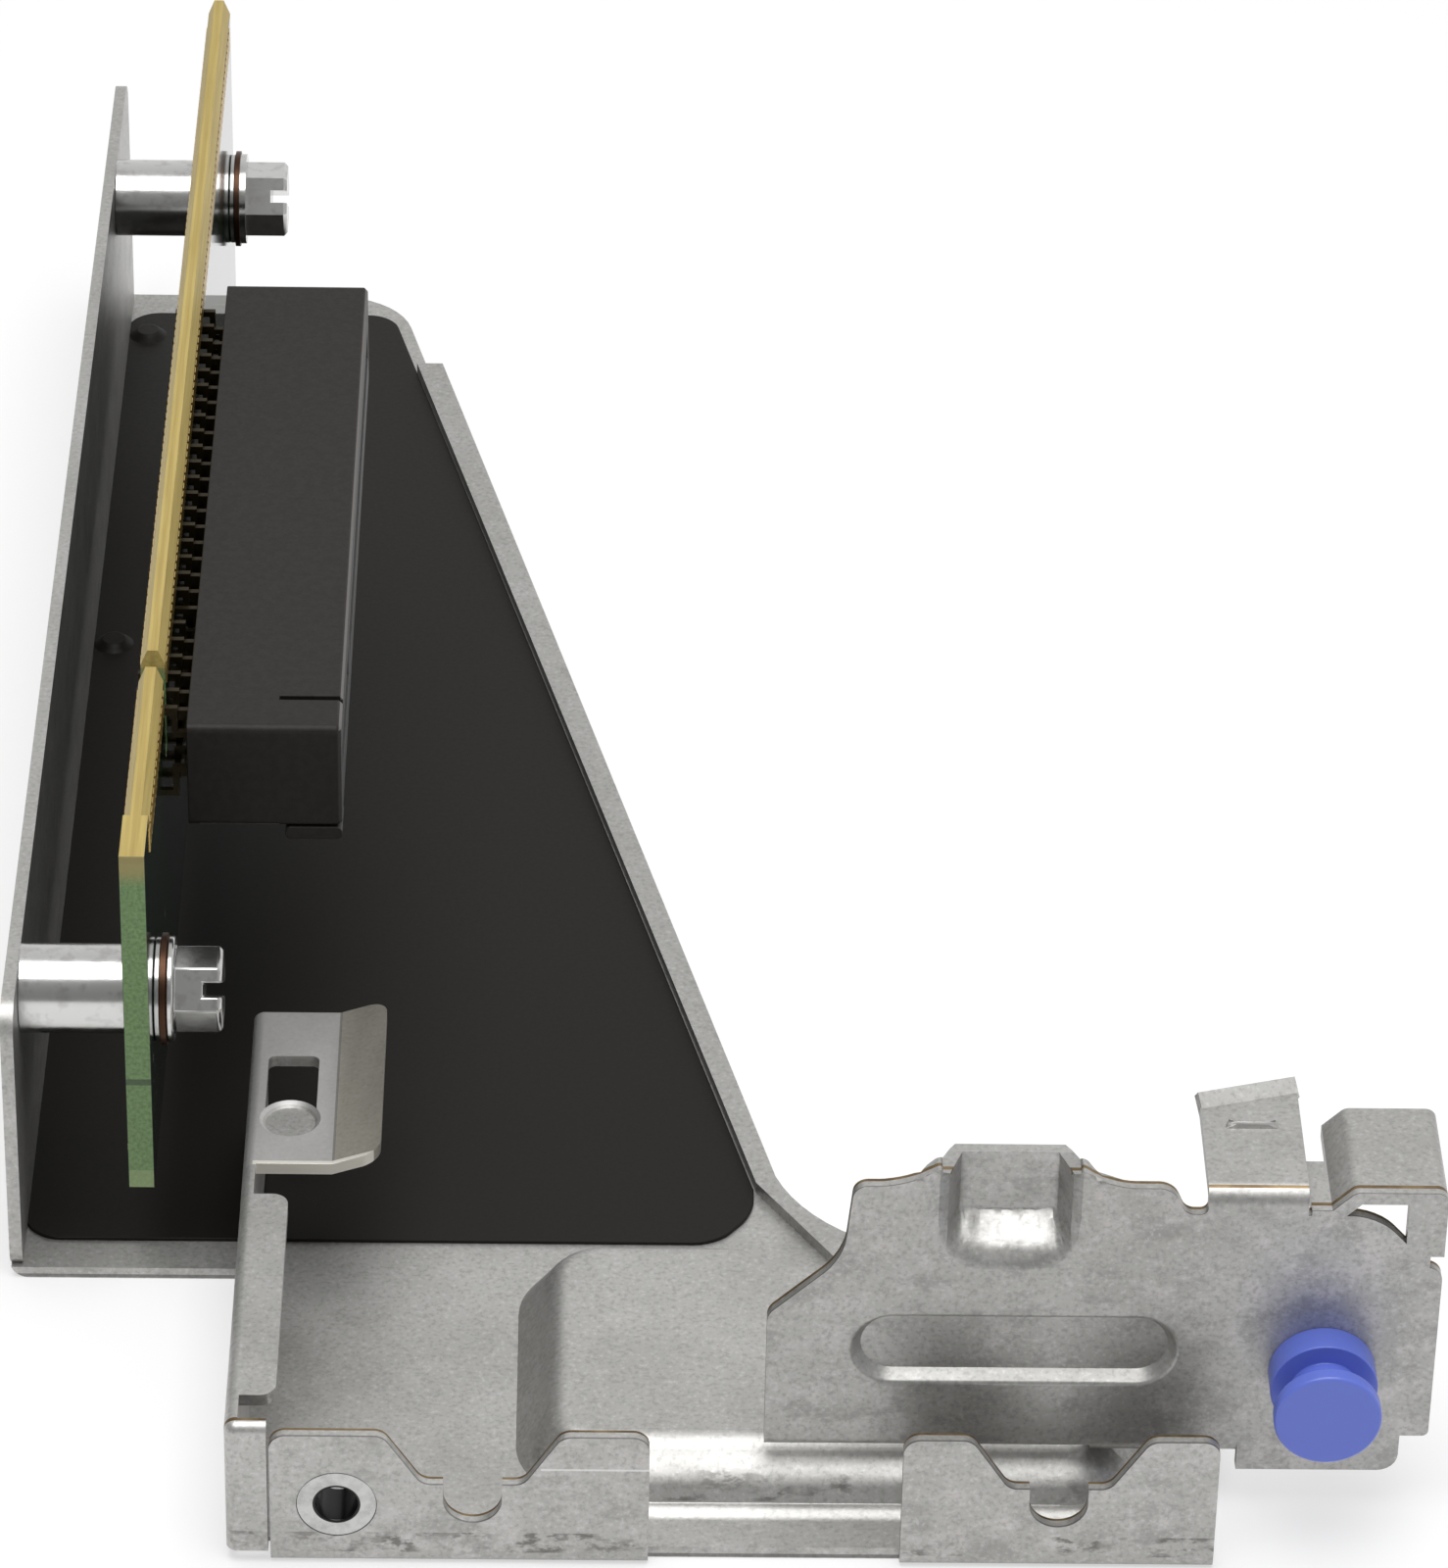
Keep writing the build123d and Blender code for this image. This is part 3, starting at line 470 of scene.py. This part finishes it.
def slot_moulding():
    """Satin black moulding with a painted highlight along its mouth's rim and a pale line along
    its foot.
    """
    material, tree, shader = finish("slot_moulding", (0.014, 0.012, 0.011), 0.5)
    shader.inputs["Specular IOR Level"].default_value = 0.26
    grain = speckle(tree, 0.25, 3.0)
    mouth_highlight = in_bands(tree, {"X": (11.04, 11.3), "Z": (29.0, 29.4)})
    foot_line = in_bands(tree, {"X": (2.2, 7.2), "Z": (21.7, 22.02)})
    # painted highlight along the lit rim of the mouth; a pale line along the foot
    highlight_and_foot_line = computed(tree, "MAXIMUM", mouth_highlight, foot_line)
    moulded = graded(
        tree, speckle(tree, 0.6, 3.0),
        (0.4, (0.012, 0.0105, 0.0095)), (0.6, (0.016, 0.014, 0.0125)),
    )
    tree.links.new(mixed(tree, highlight_and_foot_line, moulded, (0.12, 0.112, 0.105)), shader.inputs["Base Color"])
    roughened(tree, shader, grain, 0.45, 0.62)
    raised(tree, shader, grain, 0.2, 0.02)
    return material


def shaded_contact_plating():
    """Olive-gold plating of the slot's contacts, darkened as painted shade where they sit between
    board and housing.
    """
    # painted shade: the base colour is far darker than the plating, for the shade between board
    # and housing
    material, tree, shader = finish("shaded_contact_plating", (0.03, 0.022, 0.008), 0.5, 0.7)
    roughened(tree, shader, speckle(tree, 0.3), 0.25, 0.5)
    return material


def bright_zinc():
    """Bright plating of the spacers, screws and stud."""
    material, tree, shader = finish("bright_zinc", (0.62, 0.62, 0.6), 0.16, 1.0)
    tone = graded(
        tree, speckle(tree, 0.9, 3.0), (0.34, (0.54, 0.53, 0.52)), (0.5, (0.64, 0.64, 0.63))
    )
    tree.links.new(tone, shader.inputs["Base Color"])
    roughened(tree, shader, speckle(tree, 0.8), 0.14, 0.26)
    return material


def bare_copper():
    """Dull copper of the two pads."""
    material, tree, shader = finish("bare_copper", (0.09, 0.047, 0.03), 0.5, 1.0)
    roughened(tree, shader, speckle(tree, 0.5), 0.3, 0.5)
    return material


def nut_plating():
    """Plating of the press nut, with painted shade inside its bore."""
    material, tree, shader = finish("nut_zinc", (0.5, 0.5, 0.49), 0.26, 1.0)
    squares = [
        computed(tree, "SUBTRACT", distance_along(tree, axis), middle)
        for axis, middle in zip("XZ", NUT_BORE)
    ]
    squares = [product(tree, side, side) for side in squares]
    from_axis = computed(tree, "SQRT", computed(tree, "ADD", *squares))
    bore_shade = computed(tree, "LESS_THAN", from_axis, NUT_BORE_RADIUS)
    ring = graded(
        tree, speckle(tree, 0.8, 3.0), (0.35, (0.44, 0.44, 0.43)), (0.6, (0.56, 0.56, 0.55))
    )
    # painted shade: near-black inside the bore
    tree.links.new(mixed(tree, bore_shade, ring, (0.035, 0.035, 0.036)), shader.inputs["Base Color"])
    return material


def knob_moulding():
    """Satin blue moulding."""
    material, tree, shader = finish("knob_moulding", (0.115, 0.165, 0.6), 0.28)
    roughened(tree, shader, speckle(tree, 3.0, 0.0), 0.3, 0.34)
    return material


zinc = bright_zinc()
copper = bare_copper()
finishes = {
    "bracket_tray": tray_steel(),
    "end_bracket": plate_steel(),
    "floor_film": insulating_film(),
    "riser_board": board_laminate(),
    "edge_fingers": gold_plate(),
    "slot_housing": slot_moulding(),
    "slot_contacts": shaded_contact_plating(),
    "spacer_near": zinc,
    "spacer_far": zinc,
    "copper_pad_near": copper,
    "copper_pad_far": copper,
    "screw_near": zinc,
    "screw_far": zinc,
    "press_nut": nut_plating(),
    "knob": knob_moulding(),
    "knob_stud": zinc,
}
for node_name, material in finishes.items():
    node = nodes[node_name]
    node.data.materials.clear()
    node.data.materials.append(material)


# Reshaping of merged copies

def inside(vertex, low, high):
    """Whether a vertex lies in a box, whose corners are in mm."""
    return all(low[axis] < vertex.co[axis] / MM < high[axis] for axis in range(3))


def choose_none(kind):
    """Clear what is selected in a mesh, ready to select by kind in object mode."""
    bpy.ops.object.mode_set(mode="EDIT")
    bpy.ops.mesh.select_mode(type=kind)
    bpy.ops.mesh.select_all(action="DESELECT")
    bpy.ops.object.mode_set(mode="OBJECT")


def choose_edges(piece, low, high):
    """Select the edges with both ends in a box of mm, and go to edit mode."""
    choose_none("EDGE")
    found = [inside(vertex, low, high) for vertex in piece.data.vertices]
    for edge in piece.data.edges:
        edge.select = all(found[index] for index in edge.vertices)
    bpy.ops.object.mode_set(mode="EDIT")


def choose_vertices(piece, low, high):
    """Select the vertices in a box of mm, and go to edit mode."""
    choose_none("VERT")
    for vertex in piece.data.vertices:
        vertex.select = inside(vertex, low, high)
    bpy.ops.object.mode_set(mode="EDIT")


def round_edges(piece, low, high, offset_mm, segments):
    """Bevel the edges in a box of mm."""
    choose_edges(piece, low, high)
    bpy.ops.mesh.bevel(
        offset=offset_mm * MM, segments=segments, affect="EDGES", clamp_overlap=True
    )
    bpy.ops.object.mode_set(mode="OBJECT")


def round_corners(piece, thickness_axis, faces, corners):
    """Round corners of a sheet's outline; a corner is its two places and a setback."""
    nearby = 0.08
    for *places, setback_mm in corners:
        low = [place - nearby for place in places]
        high = [place + nearby for place in places]
        low.insert(thickness_axis, faces[0])
        high.insert(thickness_axis, faces[1])
        round_edges(piece, low, high, setback_mm, 6)


def cut_into_cells(low, high, cell_mm):
    """Cut the mesh that is being worked on along a grid of planes across X and Z."""
    bpy.ops.object.mode_set(mode="EDIT")
    for axis in (0, 2):
        normal = [0, 0, 0]
        normal[axis] = 1
        place = low[axis]
        while place < high[axis]:
            bpy.ops.mesh.select_all(action="SELECT")
            bpy.ops.mesh.bisect(plane_co=[MM * place * side for side in normal], plane_no=normal)
            place += cell_mm


def smooth_box(piece, low, high, rounds):
    """Let the forms in a box of mm flow into each other."""
    choose_vertices(piece, low, high)
    bpy.ops.mesh.vertices_smooth(factor=0.5, repeat=rounds)
    bpy.ops.object.mode_set(mode="OBJECT")


def push_back(piece, low, high, depth_mm, reach_mm):
    """Push the vertices in a box of mm away from the front, and their surroundings less."""
    choose_vertices(piece, low, high)
    bpy.ops.transform.translate(
        value=(0, depth_mm * MM, 0), use_proportional_edit=True,
        proportional_edit_falloff="SMOOTH", proportional_size=reach_mm * MM,
    )
    bpy.ops.object.mode_set(mode="OBJECT")


PLATE_CORNERS = (
    (42.5, 24.0, 0.8),
    (45.2, 24.0, 1.3),
    (57.8, 24.0, 1.2),
    (61.2, 24.0, 0.8),
    (62.0, 22.15, 0.5),
    (63.3, 22.15, 0.5),
    (73.3, 22.15, 1.5),
    (75.7, 3.1, 1.2),
    (77.4, 5.75, 0.4),
    (42.0, 18.7, 1.5),
    (47.65, 25.3, 0.36),
    (55.75, 25.24, 0.3),
)


def shape_end_bracket(piece):
    """Round the plate's outline, press the crown's scoop and soften the strap's bump."""
    round_corners(piece, 1, (PLATE_FRONT - 0.1, PLATE_BACK + 0.1), PLATE_CORNERS)
    cut_into_cells(SCOOP_LOW, SCOOP_HIGH, 0.45)
    smooth_box(piece, SCOOP_LOW, SCOOP_HIGH, 2)
    bowl_low, bowl_high = (47.0, -42.4, 20.7), (56.4, -40.0, 26.0)
    push_back(piece, bowl_low, bowl_high, 1.1, 1.5)
    bump_low, bump_high = (64.0, -38.9, 23.85), (68.5, -35.0, FAR)
    smooth_box(piece, bump_low, bump_high, 2)


def shape_tray(piece):
    """Round the foot of the raised panel and the near rim of the window tab."""
    foot_low, foot_high = (24.0, -44.2, FLOOR_TOP - 0.01), (56.0, -19.0, FLOOR_TOP + 0.01)
    round_edges(piece, foot_low, foot_high, 0.55, 4)
    rim_low, rim_high = (-FAR, TAB_NEAR - 0.05, TAB_TOP - 0.05), (FAR, TAB_NEAR + 0.05, FAR)
    round_edges(piece, rim_low, rim_high, 0.6, 5)


def shape_film(piece):
    """Round the film's near corner and bring its long edge up to the wall's foot."""
    moved_width, shift = 5.0, 0.9
    round_corners(piece, 2, (0.0, 5.0), ((35.1, -18.6, 1.4), (37.5, -15.4, 1.4)))
    left = min(vertex.co.x for vertex in piece.data.vertices) / MM
    choose_edges(piece, (-FAR, -FAR, -FAR), (left + moved_width, FAR, FAR))
    bpy.ops.transform.translate(value=(-shift * MM, 0, 0))
    bpy.ops.object.mode_set(mode="OBJECT")


def shape_screw(piece):
    """Turn a screw about its axis until the head's slot points at the camera."""
    turn = radians(88.6)
    sides = list(zip(*(vertex.co for vertex in piece.data.vertices)))
    middle = [(min(side) + max(side)) / 2 for side in sides]
    bpy.ops.object.mode_set(mode="EDIT")
    bpy.ops.mesh.select_all(action="SELECT")
    bpy.ops.transform.rotate(value=turn, orient_axis="X", center_override=middle)
    bpy.ops.object.mode_set(mode="OBJECT")


def edge_worn(node_name, width_mm, segments=2, flat=0.5, shape=None):
    """Take a merged copy of a node and round its sharp edges a little."""
    sharp = radians(32)
    bpy.ops.object.select_all(action="DESELECT")
    node = nodes[node_name]
    node.select_set(True)
    bpy.context.view_layer.objects.active = node
    bpy.ops.object.duplicate()
    piece = bpy.context.object
    piece.name = node_name + "_worn"
    bpy.ops.object.mode_set(mode="EDIT")
    bpy.ops.mesh.select_all(action="SELECT")
    bpy.ops.mesh.remove_doubles(threshold=0.002 * MM)
    bpy.ops.mesh.dissolve_limited(angle_limit=radians(flat))
    bpy.ops.object.mode_set(mode="OBJECT")
    if shape:
        shape(piece)
    bpy.ops.object.shade_smooth_by_angle(angle=sharp)
    rounding = piece.modifiers.new("rounding", "BEVEL")
    rounding.limit_method = "ANGLE"
    rounding.angle_limit = sharp
    rounding.width = width_mm * MM
    rounding.segments = segments
    rounding.use_clamp_overlap = True
    bpy.ops.object.modifier_apply(modifier=rounding.name)
    bpy.ops.object.shade_smooth_by_angle(angle=radians(45))
    evened = piece.modifiers.new("evened", "WEIGHTED_NORMAL")
    evened.keep_sharp = True
    bpy.ops.object.modifier_apply(modifier=evened.name)
    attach(piece, "root")
    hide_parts(node_name)


edge_worn("bracket_tray", 0.18, 3, 0.1, shape_tray)
edge_worn("end_bracket", 0.16, 3, 0.1, shape_end_bracket)
edge_worn("floor_film", 0.04, 1, shape=shape_film)
edge_worn("screw_near", 0.12, shape=shape_screw)
edge_worn("screw_far", 0.12, shape=shape_screw)
edge_worn("slot_housing", 0.1)
edge_worn("knob", 0.22)
edge_worn("spacer_near", 0.08)
edge_worn("spacer_far", 0.08)
edge_worn("press_nut", 0.08)


# Floor, light and camera

def floor_paper():
    """White paper that also glows a little for the rays that show it directly."""
    material, tree, shader = finish("floor_white", (0.9, 0.9, 0.9), 0.9)
    roughened(tree, shader, speckle(tree, 200.0), 0.88, 0.92)
    path = tree.nodes.new("ShaderNodeLightPath")
    seen = path.outputs["Is Camera Ray"]
    for kind in ("Is Glossy Ray", "Is Transmission Ray"):
        seen = computed(tree, "MAXIMUM", seen, path.outputs[kind])
    glow = tree.nodes.new("ShaderNodeEmission")
    share = tree.nodes.new("ShaderNodeMixShader")
    tree.links.new(product(tree, seen, 0.55), share.inputs["Fac"])
    tree.links.new(shader.outputs["BSDF"], share.inputs[1])
    tree.links.new(glow.outputs["Emission"], share.inputs[2])
    tree.links.new(share.outputs["Shader"], tree.nodes["Material Output"].inputs["Surface"])
    return material


bpy.ops.mesh.primitive_plane_add(size=6, location=(0, 0, 0))
floor = bpy.context.object
floor.name = "studio_floor"
floor.data.materials.append(floor_paper())


def soft_room():
    """A white room, darker in front of and to the left of the object."""
    world = bpy.data.worlds.new("soft_room")
    world.use_nodes = True
    tree = world.node_tree
    backdrop = tree.nodes["Background"]
    backdrop.inputs["Color"].default_value = (1, 1, 1, 1)
    ahead = one_axis(tree, "Generated", "Y")
    depth = tree.nodes.new("ShaderNodeMapRange")
    depth.inputs["From Min"].default_value = -1.0
    depth.inputs["To Min"].default_value = 0.28
    depth.inputs["To Max"].default_value = 0.9
    tree.links.new(ahead, depth.inputs["Value"])
    side = tree.nodes.new("ShaderNodeMapRange")
    side.inputs["From Min"].default_value = -0.9
    side.inputs["From Max"].default_value = 0.1
    side.inputs["To Min"].default_value = 0.55
    tree.links.new(one_axis(tree, "Generated", "X"), side.inputs["Value"])
    level = tree.nodes.new("ShaderNodeMix")
    level.inputs["B"].default_value = 1.0
    path = tree.nodes.new("ShaderNodeLightPath")
    tree.links.new(path.outputs["Is Camera Ray"], level.inputs["Factor"])
    tree.links.new(
        product(tree, depth.outputs["Result"], side.outputs["Result"]), level.inputs["A"]
    )
    tree.links.new(level.outputs["Result"], backdrop.inputs["Strength"])
    return world


def soft_lamp(name, place, aim, size, watts):
    """Add a square area lamp that points at a spot."""
    bpy.ops.object.light_add(type="AREA", location=place)
    lamp = bpy.context.object
    lamp.name = name
    lamp.data.size = size
    lamp.data.energy = watts
    towards = Vector(aim) - Vector(place)
    lamp.rotation_euler = towards.to_track_quat("-Z", "Y").to_euler()


bpy.context.scene.world = soft_room()
soft_lamp("lamp_above", (0.03, -0.1, 0.6), (0.03, -0.02, 0.0), 0.46, 3.2)

CAMERA_PLACE = (0.0264, -0.3806, 0.2762)
CAMERA_TURN = (56.4082, -1.0821, -0.6263)
bpy.ops.object.camera_add(
    location=CAMERA_PLACE, rotation=[radians(turn) for turn in CAMERA_TURN]
)
camera = bpy.context.object
camera.data.sensor_fit = "VERTICAL"
camera.data.sensor_height = 36
camera.data.lens = 165.29
camera.data.clip_start = 0.01
bpy.context.scene.camera = camera
bpy.context.scene.view_settings.view_transform = "Standard"
